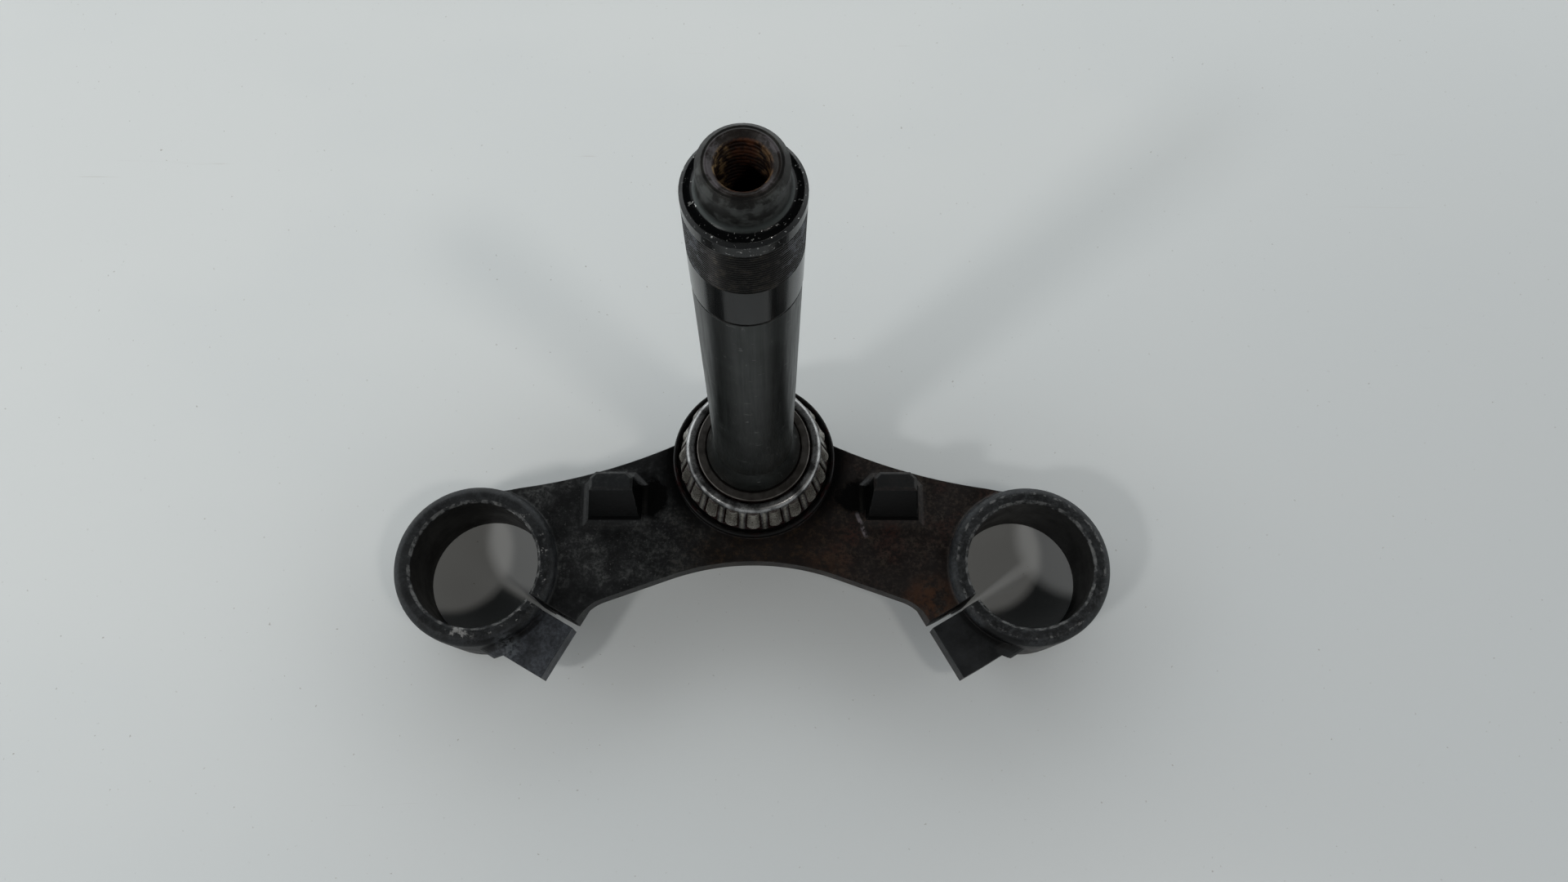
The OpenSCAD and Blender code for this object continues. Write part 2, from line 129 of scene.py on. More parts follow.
# Colours of the floor
# Painted light: the floor goes from FLOOR_FRONT at the front right to FLOOR_BACK at the back left
FLOOR_FRONT = (0.50, 0.515, 0.52)
FLOOR_BACK = (0.67, 0.685, 0.68)
# Painted shadow in broad bluish blotches on the floor
FLOOR_SHADOW_BLOTCH = (0.50, 0.54, 0.56)
FLOOR_SPECK = (0.16, 0.13, 0.10)
FLOOR_SCRATCH = (0.34, 0.30, 0.26)

# Colours of the yoke
PAINT_DARK = (0.0030, 0.0032, 0.0034)
PAINT_PALE = (0.0088, 0.0093, 0.0098)
SCUFF_GREY = (0.062, 0.063, 0.061)
DUST_GREY = (0.038, 0.040, 0.039)
FLECK_GREY = (0.080, 0.080, 0.078)
MIDDLE_BROWN = (0.0030, 0.0016, 0.0009)
RIGHT_BROWN = (0.0048, 0.0031, 0.0026)
STAIN_BROWN = (0.036, 0.028, 0.022)
BLUSH_RED = (0.030, 0.012, 0.009)
SPECK_BROWN = (0.026, 0.015, 0.007)
RUST_BROWN = (0.030, 0.013, 0.006)
MARK_RED = (0.022, 0.006, 0.004)
CHIP_GREY = (0.115, 0.102, 0.110)
RING_GREY_LEFT = (0.016, 0.017, 0.018)
RING_GREY_RIGHT = (0.021, 0.022, 0.023)
ROUNDING_GREY = (0.030, 0.033, 0.037)
# Painted light on the pinch lugs' sloping tops, paler on the left
LUG_LIT_LEFT = (0.046, 0.050, 0.058)
LUG_LIT_RIGHT = (0.036, 0.040, 0.044)
# Painted shade where the lugs meet the rings
VALLEY_SHADE = (0.0020, 0.0021, 0.0022)
RING_FOOT_SHADE = (0.0014, 0.0015, 0.0016)
SCRAPE_GREY = (0.085, 0.092, 0.100)
STOP_GREY = (0.0058, 0.0068, 0.0074)
# Black for grease round the bearing, and for painted shade by and on the steering stops
GREASE_AND_SHADE_BLACK = (0.0012, 0.0013, 0.0013)
# Painted shade in the fork bores
BORE_SHADE_LEFT = (0.0010, 0.0010, 0.0009)
BORE_SHADE_RIGHT = (0.0030, 0.0030, 0.0028)
EDGE_GREY = (0.11, 0.11, 0.108)
RIM_GREY = (0.15, 0.15, 0.148)
BARE_METAL = (0.21, 0.205, 0.20)

# Colours of the stem
TUBE_DARK_GREY = (0.0165, 0.0185, 0.018)
TUBE_PALE_GREY = (0.027, 0.030, 0.029)
TUBE_GREASE = (0.006, 0.006, 0.005)
NICK_GREY = (0.16, 0.16, 0.155)
SEAT_BLACK = (0.0040, 0.0044, 0.0046)
THREAD_GRIME = (0.0014, 0.0012, 0.0009)
THREAD_MIDDLE = (0.022, 0.020, 0.017)
THREAD_SIDE_SHEEN = (0.044, 0.046, 0.052)
LAND_OIL = (0.0022, 0.0024, 0.0026)
LAND_GLINT = (0.34, 0.34, 0.33)
SPIGOT_DARK = (0.0040, 0.0038, 0.0032)
SPIGOT_PALE = (0.031, 0.0325, 0.031)
TOP_DARK = (0.0030, 0.0026, 0.0022)
TOP_PALE = (0.0135, 0.0125, 0.0105)
GROOVE_BLACK = (0.004, 0.004, 0.004)
LIP_DARK = (0.005, 0.0030, 0.002)
LIP_MIDDLE = (0.016, 0.013, 0.011)
LIP_SIDES = (0.048, 0.042, 0.045)
CRUST_DARK = (0.007, 0.0022, 0.0010)
CRUST_MIDDLE = (0.040, 0.013, 0.005)
CRUST_SIDE_GLINTS = (0.13, 0.085, 0.040)

# Colours of the bearing and its seal, as pairs of the main and the darker tint
ROLLER_TINTS = (0.38, 0.36, 0.32), (0.26, 0.24, 0.21)
RING_TINTS = (0.080, 0.074, 0.069), (0.042, 0.038, 0.034)
CAGE_TINTS = (0.22, 0.22, 0.22), (0.050, 0.050, 0.050)
WASHER_TINTS = (0.10, 0.09, 0.08), (0.03, 0.025, 0.02)
# Painted sheen on the cage's bars and the rollers' lower ends
SHEEN_TINTS = (0.68, 0.65, 0.585), (0.45, 0.43, 0.38)
RUBBER_TINTS = (0.0030, 0.0029, 0.0028), (0.0012, 0.0012, 0.0012)
# Reddish black for grease, also laid as painted shade in the bearing's gaps
BEARING_GREASE_AND_SHADE = (0.008, 0.0024, 0.0018)
SEAL_GREASE = (0.010, 0.0025, 0.0025)


# Camera


def make_camera():
    """The photograph's camera."""
    data = bpy.data.cameras.new("camera")
    data.sensor_width = SENSOR_WIDTH_MM
    data.lens = PHOTO_FOCAL_PX / PHOTO_WIDTH_PX * data.sensor_width
    data.clip_start = 0.01
    data.clip_end = 20
    camera = bpy.data.objects.new("camera", data)
    pan = Matrix.Rotation(CAMERA_PAN, 4, "Y")
    tilt = Matrix.Rotation(CAMERA_TILT, 4, "X")
    roll = Matrix.Rotation(CAMERA_ROLL, 4, "Z")
    camera.matrix_world = Matrix.Translation(CAMERA_PLACE) @ pan @ tilt @ roll
    bpy.context.scene.collection.objects.link(camera)
    bpy.context.scene.camera = camera


# Lights and floor


def area_light(name, towards, power, colour):
    """A square soft light, seen from the object in the direction towards, and aimed at it."""
    data = bpy.data.lights.new(name, "AREA")
    data.shape = "SQUARE"
    data.size = LAMP_SIZE
    data.energy = power
    data.color = colour
    lamp = bpy.data.objects.new(name, data)
    way = Vector(towards).normalized()
    lamp.location = way * LAMP_DISTANCE + Vector((0, 0, LAMP_AIM_HEIGHT))
    lamp.rotation_mode = "QUATERNION"
    lamp.rotation_quaternion = way.to_track_quat("Z", "Y")
    bpy.context.scene.collection.objects.link(lamp)


def make_lights():
    """Two soft windows at the front, whose shadows of the stem run back to both sides, in a pale room."""
    area_light("window_left", (-0.53, -0.43, 0.73), 4.4, (1.0, 0.99, 0.97))
    area_light("window_right", (0.39, -0.33, 0.86), 3.0, (1.0, 0.96, 0.90))
    make_room()


def map_range(tree, source, low, high, at_low, at_high):
    """A smooth step from at_low to at_high, as the source goes from low to high."""
    node = tree.nodes.new("ShaderNodeMapRange")
    node.interpolation_type = "SMOOTHSTEP"
    tree.links.new(source, node.inputs["Value"])
    for name, value in (("From Min", low), ("From Max", high), ("To Min", at_low), ("To Max", at_high)):
        node.inputs[name].default_value = value
    return node.outputs[0]


def make_room():
    """Light from all round, low down: bright walls, dim on the viewer's side, under a dark ceiling."""
    world = bpy.data.worlds.new("room")
    world.use_nodes = True
    tree = world.node_tree
    way = tree.nodes.new("ShaderNodeSeparateXYZ")
    tree.links.new(tree.nodes.new("ShaderNodeTexCoord").outputs["Generated"], way.inputs[0])
    strength = map_range(tree, way.outputs["Z"], WALL_TOP, CEILING, WALL_LIGHT, CEILING_LIGHT)
    viewer_side = map_range(tree, way.outputs["Y"], -0.8, 0.3, 0.30, 1.0)
    left_side = map_range(tree, way.outputs["X"], -1.0, 1.0, 1.15, 0.85)
    for share in (viewer_side, left_side):
        product = tree.nodes.new("ShaderNodeMath")
        product.operation = "MULTIPLY"
        tree.links.new(strength, product.inputs[0])
        tree.links.new(share, product.inputs[1])
        strength = product.outputs[0]
    background = tree.nodes["Background"]
    tree.links.new(strength, background.inputs["Strength"])
    background.inputs["Color"].default_value = ROOM_COLOUR
    bpy.context.scene.world = world


def make_floor():
    """A pale panel with a light gloss, with painted light that makes it paler towards the back left, broad
    blotches of painted shadow, and specks and fine scratches.
    """
    mesh = bpy.data.meshes.new("floor")
    corners = [(FLOOR_HALF * x, FLOOR_HALF * y, 0) for x, y in ((-1, -1), (1, -1), (1, 1), (-1, 1))]
    mesh.from_pydata(corners, [], [(0, 1, 2, 3)])
    floor = bpy.data.objects.new("floor", mesh)
    bpy.context.scene.collection.objects.link(floor)
    n = Nodes("floor_panel")
    to_back = n.math("SUBTRACT", n.product(n.y, 0.85), n.product(n.x, 0.5))
    shadow_blotches = n.ramp(n.noise(7, 3, 0.5, stretch=(1, 1.6, 1), shift=4.0), 0.35, 0.65)
    specks = n.ramp(n.noise(700, 2, 0.5), 0.735, 0.765)
    scratches = n.ramp(n.noise(200, 4, 0.6, stretch=(0.05, 1.2, 1), distortion=0.5), 0.70, 0.76)
    # painted light: paler towards the back left
    colour = n.mix(n.ramp(to_back, -0.22, 0.20), FLOOR_FRONT, FLOOR_BACK)
    # painted shadow in broad blotches
    colour = n.layer(colour, FLOOR_SHADOW_BLOTCH, shadow_blotches, 0.12)
    colour = n.layer(colour, FLOOR_SPECK, specks, 0.5)
    colour = n.layer(colour, FLOOR_SCRATCH, scratches, 0.25)
    mesh.materials.append(n.finish(colour, 0.30, specular=0.5))


# Node helpers


class Nodes:
    """Short calls for building one material's node tree.

    A mask is a number from 0 to 1. Side is the distance from the middle, to the
    left or to the right, and up is 1 where the surface faces straight up.
    """

    def __init__(self, name):
        self.material = bpy.data.materials.new(name)
        self.material.use_nodes = True
        self.tree = self.material.node_tree
        self.shader = self.tree.nodes["Principled BSDF"]
        self.coords = self.tree.nodes.new("ShaderNodeTexCoord").outputs["Object"]
        self.surface = self.tree.nodes.new("ShaderNodeNewGeometry").outputs["Normal"]
        self.x, self.y, self.z = self.split(self.coords)
        self.side = self.math("ABSOLUTE", self.x)
        self.up = self.split(self.surface)[2]

    def link(self, source, socket):
        """Set a socket to a number or a colour, or link a node's output to it."""
        if isinstance(source, (int, float)):
            socket.default_value = source
        elif isinstance(source, (tuple, list)):
            socket.default_value = tuple(source) + (1,) * (4 - len(source))
        else:
            self.tree.links.new(source, socket)

    def split(self, vector):
        """The x, y and z of a vector."""
        node = self.tree.nodes.new("ShaderNodeSeparateXYZ")
        self.tree.links.new(vector, node.inputs[0])
        return node.outputs[0], node.outputs[1], node.outputs[2]

    def math(self, how, a, b=0.0):
        """One math node."""
        node = self.tree.nodes.new("ShaderNodeMath")
        node.operation = how
        self.link(a, node.inputs[0])
        self.link(b, node.inputs[1])
        return node.outputs[0]

    def product(self, *values):
        """All the values multiplied together."""
        result = values[0]
        for value in values[1:]:
            result = self.math("MULTIPLY", result, value)
        return result

    def most(self, *values):
        """The largest of the values."""
        result = values[0]
        for value in values[1:]:
            result = self.math("MAXIMUM", result, value)
        return result

    def rest(self, value):
        """What the value leaves of 1."""
        return self.math("SUBTRACT", 1.0, value)

    def noise(self, scale, detail=4, rough=0.55, stretch=(1, 1, 1), shift=0.0, distortion=0.0):
        """Noise between 0 and 1 in the piece's own frame. Scale counts features per metre."""
        mapping = self.tree.nodes.new("ShaderNodeMapping")
        mapping.inputs["Scale"].default_value = stretch
        mapping.inputs["Location"].default_value = (shift, shift * 0.7, shift * 1.3)
        self.tree.links.new(self.coords, mapping.inputs["Vector"])
        node = self.tree.nodes.new("ShaderNodeTexNoise")
        node.inputs["Scale"].default_value = scale
        node.inputs["Detail"].default_value = detail
        node.inputs["Roughness"].default_value = rough
        node.inputs["Distortion"].default_value = distortion
        self.tree.links.new(mapping.outputs[0], node.inputs["Vector"])
        return node.outputs["Fac"]

    def ramp(self, source, start, end):
        """0 up to start, 1 past end, and a smooth step between. End may be the lower one."""
        if start <= end:
            return map_range(self.tree, source, start, end, 0.0, 1.0)
        return map_range(self.tree, source, end, start, 1.0, 0.0)

    def band(self, value, low, high, soft):
        """1 between low and high, with soft edges."""
        return self.product(self.ramp(value, low - soft, low), self.ramp(value, high + soft, high))

    def mix(self, amount, a, b):
        """A colour that goes from a to b with amount."""
        node = self.tree.nodes.new("ShaderNodeMix")
        node.data_type = "RGBA"
        self.link(amount, node.inputs["Factor"])
        self.link(a, node.inputs["A"])
        self.link(b, node.inputs["B"])
        return node.outputs["Result"]

    def layer(self, under, over, *masks):
        """The colour over, laid on the colour under where all the masks let it."""
        return self.mix(self.product(*masks), under, over)

    def blend(self, amount, a, b):
        """A number that goes from a to b with amount."""
        node = self.tree.nodes.new("ShaderNodeMix")
        node.data_type = "FLOAT"
        for socket, source in zip((node.inputs[0], node.inputs[2], node.inputs[3]), (amount, a, b)):
            self.link(source, socket)
        return node.outputs[0]

    def distance(self, x, y, place=(0.0, 0.0)):
        """Distance in plan from a place."""
        dx = self.math("SUBTRACT", x, place[0])
        dy = self.math("SUBTRACT", y, place[1])
        return self.math("SQRT", self.math("ADD", self.product(dx, dx), self.product(dy, dy)))

    def at(self, place, inner, outer):
        """1 within inner of a place in plan, and 0 past outer."""
        return self.ramp(self.distance(self.x, self.y, place), outer, inner)

    def at_both(self, place, inner, outer):
        """The same as at, round a place on the right and round its mirror image on the left."""
        return self.ramp(self.distance(self.side, self.y, place), outer, inner)

    def streak(self, start, end, width):
        """1 along the line between two places in plan, fading out at its sides and ends."""
        line = Vector(end) - Vector(start)
        way = line.normalized()
        dx = self.math("SUBTRACT", self.x, start[0])
        dy = self.math("SUBTRACT", self.y, start[1])
        along = self.math("ADD", self.product(dx, way.x), self.product(dy, way.y))
        across = self.math("SUBTRACT", self.product(dx, way.y), self.product(dy, way.x))
        inside = self.band(along, width, line.length - width, 2 * width)
        return self.product(inside, self.ramp(self.math("ABSOLUTE", across), width, 0.3 * width))

    def rounded(self, radius):
        """The surface's direction with its edges rounded off by radius."""
        node = self.tree.nodes.new("ShaderNodeBevel")
        node.samples = 6
        node.inputs["Radius"].default_value = radius
        return node.outputs["Normal"]

    def edges(self, radius):
        """1 along edges, fading out within radius of them."""
        node = self.tree.nodes.new("ShaderNodeVectorMath")
        node.operation = "DOT_PRODUCT"
        self.tree.links.new(self.rounded(radius), node.inputs[0])
        self.tree.links.new(self.surface, node.inputs[1])
        return self.ramp(self.rest(node.outputs["Value"]), 0.03, 0.20)

    def bump(self, height, distance, strength, normal=None):
        """The surface's direction, tilted by a relief of this distance."""
        node = self.tree.nodes.new("ShaderNodeBump")
        node.inputs["Strength"].default_value = strength
        node.inputs["Distance"].default_value = distance
        self.link(height, node.inputs["Height"])
        if normal is not None:
            self.tree.links.new(normal, node.inputs["Normal"])
        return node.outputs[0]

    def finish(self, colour, roughness, normal=None, metallic=0.0, specular=0.5):
        """The material, with these on its shader."""
        self.link(colour, self.shader.inputs["Base Color"])
        self.link(specular, self.shader.inputs["Specular IOR Level"])
        self.link(roughness, self.shader.inputs["Roughness"])
        self.link(metallic, self.shader.inputs["Metallic"])
        if normal is not None:
            self.link(normal, self.shader.inputs["Normal"])
        return self.material


# Paint of the yoke


class YokeNodes(Nodes):
    """The yoke's node tree, with the noises and areas that its layers share."""

    def __init__(self):
        super().__init__("worn_black_paint")
        self.grain = self.noise(520, 4, 0.62, shift=2.0)
        self.cloud = self.noise(95, 6, 0.64, shift=3.1)
        self.broad = self.noise(26, 4, 0.55, shift=7.7)
        self.gritty = self.ramp(self.noise(950, 5, 0.72, shift=11.0), 0.40, 0.60)
        self.from_fork = self.distance(self.side, self.y, FORK)
        self.over_slot = self.slot_side()
        self.ring_top = self.ramp(self.z, RING_TOP - 1.4 * MM, RING_TOP - 0.6 * MM)
        above_arm = self.ramp(self.z, ARM_TOP + 0.2 * MM, ARM_TOP + 1.0 * MM)
        self.ring = self.product(self.ramp(self.from_fork, 27.5 * MM, 26.0 * MM), above_arm)
        self.lug = self.product(self.over_slot, self.ramp(self.from_fork, 25.6 * MM, 27.0 * MM))
        self.arm = self.rest(self.most(self.ring, self.lug))
        self.left = self.ramp(self.x, 6 * MM, -22 * MM)
        self.left_arm = self.product(self.left, self.arm)
        self.right_arm = self.product(self.ramp(self.x, -14 * MM, 20 * MM), self.arm)

    def slot_side(self):
        """1 on the outer side of the slots in the fork rings, and 0 on the arms' side."""
        along = self.product(self.math("SUBTRACT", self.side, FORK[0]), math.sin(SLOT_TURN))
        across = self.product(self.math("SUBTRACT", self.y, FORK[1]), math.cos(SLOT_TURN))
        return self.ramp(self.math("SUBTRACT", along, across), 0.0, 0.5 * MM)


def scuff_left_arm(n, colour):
    """Grey scuffs, dust and flecks on the left arm, with the most dust in front of the seal."""
    scuffs = n.product(n.ramp(n.cloud, 0.46, 0.66), n.ramp(n.grain, 0.38, 0.58), n.gritty)
    colour = n.layer(colour, SCUFF_GREY, scuffs, n.left_arm, 0.75)
    dust = n.product(n.gritty, n.ramp(n.grain, 0.36, 0.62))
    by_seal = n.at(LEFT_OF_SEAL, 6 * MM, 20 * MM)
    colour = n.layer(colour, DUST_GREY, dust, n.left_arm, n.blend(by_seal, 0.18, 0.55))
    flecks = n.product(n.ramp(n.noise(1300, 4, 0.6, shift=8.0), 0.60, 0.70), n.ramp(n.broad, 0.40, 0.60))
    return n.layer(colour, FLECK_GREY, flecks, n.left_arm, 0.40)


def stain_right_arm(n, colour):
    """Brown stain on the right arm, darkest in the middle, with reddish and rusty specks."""
    colour = n.layer(colour, MIDDLE_BROWN, n.at(DARK_MIDDLE, 12 * MM, 34 * MM), 0.85)
    colour = n.layer(colour, RIGHT_BROWN, n.right_arm, 0.85)
    stain = n.product(n.ramp(n.broad, 0.30, 0.62), n.ramp(n.grain, 0.34, 0.66), n.gritty)
    colour = n.layer(colour, STAIN_BROWN, n.right_arm, stain, n.ramp(n.x, 4 * MM, 46 * MM), 0.62)
    blush = n.product(n.gritty, n.ramp(n.noise(120, 4, 0.6, shift=14.0), 0.50, 0.66))
    colour = n.layer(colour, BLUSH_RED, n.right_arm, blush, n.ramp(n.x, 10 * MM, 30 * MM), 0.38)
    specks = n.product(n.ramp(n.grain, 0.44, 0.66), n.gritty)
    return n.layer(colour, SPECK_BROWN, n.at(SPECKLED_MIDDLE, 14 * MM, 40 * MM), specks, 0.60)


def mark_right_arm(n, colour):
    """Rust at the end of the right arm and a little by the seal, two red marks and one pale chip."""
    rust = n.most(n.at(RUST_AT_END, 3 * MM, 11 * MM), n.product(n.at(RUST_BY_SEAL, 2 * MM, 10 * MM), 0.4))
    broken = n.ramp(n.noise(260, 4, 0.65, shift=9.0), 0.40, 0.58)
    colour = n.layer(colour, RUST_BROWN, rust, n.arm, broken, n.ramp(n.up, 0.2, 0.8), 0.85)
    red = n.most(n.at(RED_BY_CHIP, 1 * MM, 5 * MM), n.at(RED_BY_STOP, 1 * MM, 5 * MM))
    colour = n.layer(colour, MARK_RED, red, n.gritty, 0.6)
    chip = n.streak(CHIP_START, CHIP_END, 0.9 * MM)
    return n.layer(colour, CHIP_GREY, chip, n.ramp(n.grain, 0.34, 0.60), 0.9)


def grey_rings(n, colour):
    """Worn grey on the fork rings, with a patchy paler rounding outside."""
    worn = n.product(n.gritty, n.ramp(n.grain, 0.36, 0.60))
    grey = n.mix(n.left, RING_GREY_RIGHT, RING_GREY_LEFT)
    colour = n.layer(colour, grey, n.ring, n.blend(worn, 0.15, 1.0))
    rounding = n.product(n.band(n.from_fork, 24.2 * MM, 26.6 * MM, 0.5 * MM), n.ring)
    patches = n.product(n.blend(n.gritty, 0.45, 1.0), n.blend(n.ramp(n.cloud, 0.40, 0.60), 0.15, 1.0))
    return n.layer(colour, ROUNDING_GREY, rounding, patches, n.blend(n.left, 0.55, 0.38))


def lugs_light_and_shade(n, colour):
    """Mottled painted light on the pinch lugs, palest on the left, and painted black shade where they meet
    the rings.
    """
    mottle = n.blend(n.ramp(n.noise(210, 5, 0.65, shift=5.3), 0.36, 0.66), 0.45, 1.0)
    mottle = n.product(mottle, n.blend(n.gritty, 0.5, 1.0))
    # painted light: the lugs are painted a mottled pale grey, paler on the left
    grey = n.mix(n.left, LUG_LIT_RIGHT, LUG_LIT_LEFT)
    colour = n.layer(colour, grey, n.lug, mottle, n.blend(n.left, 0.12, 0.90))
    # painted shade in the valley between ring and lug, and at the ring's foot beside the lug
    valley_shade = n.product(n.over_slot, n.band(n.from_fork, 26.4 * MM, 27.6 * MM, 0.7 * MM))
    colour = n.layer(colour, VALLEY_SHADE, valley_shade, n.ramp(n.cloud, 0.25, 0.45), 0.8)
    foot = n.product(n.over_slot, n.band(n.from_fork, 25.0 * MM, 27.0 * MM, 0.6 * MM))
    colour = n.layer(colour, RING_FOOT_SHADE, foot, n.at_both(RING_FOOT, 5 * MM, 9.5 * MM), 0.92)
    scrape = n.product(n.at_both(LUG_SLOPE, 1 * MM, 6 * MM), n.ramp(n.grain, 0.42, 0.58))
    return n.layer(colour, SCRAPE_GREY, scrape, n.left, 0.7)


def stop_tops(n):
    """The flat tops of the two steering stops."""
    raised = n.product(n.ramp(n.z, STOP_TOP - 4 * MM, STOP_TOP - 2 * MM), n.ramp(n.up, 0.6, 0.9))
    return n.product(n.at_both(STOP, 11 * MM, 14 * MM), raised)


def yoke_grease_and_shade(n):
    """Black grease round the bearing, grease with painted shade beside the stops, and painted shade on the
    stops' upright sides.
    """
    wander = n.product(n.math("SUBTRACT", n.cloud, 0.5), 22 * MM)
    to_stop = n.math("ADD", n.distance(n.side, n.y, BESIDE_STOP), wander)
    below_top = n.ramp(n.z, STOP_TOP - 3 * MM, STOP_TOP - 7 * MM)
    # grease and painted shade between each stop and the bearing
    shade_and_grease_by_stop = n.product(n.ramp(to_stop, 8.5 * MM, 4.5 * MM), below_top)
    # painted shade on the stops' upright sides
    shaded_sides = n.product(n.ramp(n.up, 0.80, 0.45), n.ramp(n.z, ARM_TOP + 0.5 * MM, ARM_TOP + 2 * MM))
    shaded_sides = n.product(n.at_both(STOP, 12 * MM, 16 * MM), shaded_sides)
    round_seal = n.ramp(n.distance(n.x, n.y), 34.5 * MM, 27.5 * MM)
    round_seal = n.product(round_seal, n.ramp(n.y, -30 * MM, -12 * MM), n.ramp(n.cloud, 0.24, 0.46))
    return n.most(shade_and_grease_by_stop, round_seal, shaded_sides)


def bare_edges(n, colour):
    """Bare metal along the yoke's edges, and ragged scuffs on the rims of the rings."""
    ragged = n.noise(420, 5, 0.68, shift=1.7)
    worn = n.product(n.edges(0.5 * MM), n.ramp(ragged, 0.46, 0.66))
    colour = n.layer(colour, EDGE_GREY, worn, n.blend(n.lug, 0.36, 0.18))
    inner = n.product(n.band(n.from_fork, FORK_R, 21.3 * MM, 0.3 * MM), n.ramp(ragged, 0.44, 0.60))
    outer = n.product(n.band(n.from_fork, 23.6 * MM, 24.1 * MM, 0.3 * MM), n.ramp(ragged, 0.50, 0.62))
    outer = n.product(outer, n.ramp(n.x, -20 * MM, 80 * MM))
    colour = n.layer(colour, RIM_GREY, n.most(inner, outer), n.ring_top, 0.46)
    inward = n.product(n.ramp(n.side, FORK[0], FORK[0] - 15 * MM), n.ramp(n.x, 0.0, -10 * MM))
    inward = n.product(inward, n.ramp(ragged, 0.60, 0.68))
    front = n.product(n.at(LEFT_RING_FRONT, 1 * MM, 7 * MM), n.ramp(ragged, 0.52, 0.62))
    flat = n.product(n.ring_top, n.ramp(n.from_fork, 24.4 * MM, 23.4 * MM))
    return n.layer(colour, BARE_METAL, n.most(inward, front), flat, 0.7)


def yoke_paint():
    """Matt black paint on a cast surface: grey scuffs on the left, brown rust on the right, bare edges."""
    n = YokeNodes()
    colour = n.mix(n.ramp(n.cloud, 0.36, 0.68), PAINT_DARK, PAINT_PALE)
    colour = scuff_left_arm(n, colour)
    colour = stain_right_arm(n, colour)
    colour = mark_right_arm(n, colour)
    colour = grey_rings(n, colour)
    colour = lugs_light_and_shade(n, colour)
    colour = n.layer(colour, STOP_GREY, stop_tops(n), 0.75)
    # the grease mask also holds painted shade beside the stops and on their upright sides
    grease = yoke_grease_and_shade(n)
    colour = n.layer(colour, GREASE_AND_SHADE_BLACK, grease)
    # painted shade on the walls of the fork bores, darker in the left bore
    bore = n.ramp(n.from_fork, FORK_R + 0.25 * MM, FORK_R + 0.05 * MM)
    colour = n.layer(colour, n.mix(n.left, BORE_SHADE_RIGHT, BORE_SHADE_LEFT), bore)
    colour = bare_edges(n, colour)

    rough = n.blend(n.ramp(n.cloud, 0.3, 0.75), 0.40, 0.58)
    rough = n.blend(grease, rough, 0.24)
    height = n.math("ADD", n.product(n.noise(1500, 4, 0.65), 0.60), n.product(n.grain, 0.40))
    normal = n.bump(height, 0.20 * MM, 0.6, n.rounded(0.6 * MM))
    return n.finish(colour, rough, normal, specular=0.13)


# Steel of the stem


class StemNodes(Nodes):
    """The stem's node tree, with the noises and the heights that its layers share."""

    def __init__(self):
        super().__init__("blued_stem_steel")
        out = self.distance(self.x, self.y)
        self.drawn = self.noise(900, 4, 0.6, stretch=(1, 1, 0.04))
        self.patch = self.noise(230, 5, 0.65, shift=6.0)
        self.mottle = self.ramp(self.noise(330, 6, 0.7, shift=12.0), 0.49, 0.61)
        self.glint = self.ramp(self.noise(1300, 3, 0.6, shift=1.0), 0.64, 0.69)
        self.groove = self.band(self.z, GROOVE_LOW, SEAT_LOW, 0.1 * MM)
        self.seat = self.band(self.z, SEAT_LOW, SEAT_HIGH, 0.2 * MM)
        self.thread = self.band(self.z, SEAT_HIGH, THREAD_HIGH, 0.2 * MM)
        self.land = self.band(self.z, THREAD_HIGH, SHOULDER + 0.2 * MM, 0.2 * MM)
        self.spigot = self.ramp(self.z, SHOULDER + 0.8 * MM, SHOULDER + 2.2 * MM)
        end = self.ramp(self.z, STEM_TOP - 0.5 * MM, STEM_TOP - 0.2 * MM)
        self.top = self.product(end, self.ramp(self.up, 0.4, 0.8))
        above_shoulder = self.ramp(self.z, SHOULDER, SHOULDER + 1 * MM)
        self.lip = self.product(self.band(out, 5.5 * MM, 7.0 * MM, 0.3 * MM), above_shoulder)
        in_bore = self.ramp(out, HEAD_BORE_R + 0.5 * MM, HEAD_BORE_R + 0.1 * MM)
        self.mouth = self.product(in_bore, self.ramp(self.z, 185 * MM, 190 * MM))


def stem_tube(n):
    """The satin tube, greasy at its foot, with scratches and nicks."""
    colour = n.mix(n.ramp(n.noise(75, 5, 0.62), 0.35, 0.7), TUBE_DARK_GREY, TUBE_PALE_GREY)
    spots = n.product(n.ramp(n.z, 64 * MM, 46 * MM), n.ramp(n.patch, 0.36, 0.56))
    foot = n.most(spots, n.product(n.ramp(n.z, 53 * MM, 46 * MM), 0.8))
    colour = n.layer(colour, TUBE_GREASE, foot, 0.7)
    scratch = n.noise(600, 3, 0.65, stretch=(1, 1, 0.16), shift=5.0, distortion=0.5)
    nicks = n.noise(300, 2, 0.5, stretch=(1, 1, 2.6), shift=2.0)
    marks = n.most(n.ramp(scratch, 0.67, 0.74), n.ramp(nicks, 0.69, 0.725))
    return n.layer(colour, NICK_GREY, marks, 0.6)


def stem_thread(n, colour):
    """The smooth seat, the worn thread with grime in it and painted sheen towards its sides, and the oily
    land with glints.
    """
    colour = n.layer(colour, SEAT_BLACK, n.seat, 0.95)
    # painted sheen: the thread is paler and bluer towards its sides
    sheen_by_side = n.mix(n.ramp(n.side, 5 * MM, 11 * MM), THREAD_MIDDLE, THREAD_SIDE_SHEEN)
    colour = n.layer(colour, n.mix(n.mottle, THREAD_GRIME, sheen_by_side), n.thread)
    return n.layer(colour, n.mix(n.glint, LAND_OIL, LAND_GLINT), n.land)


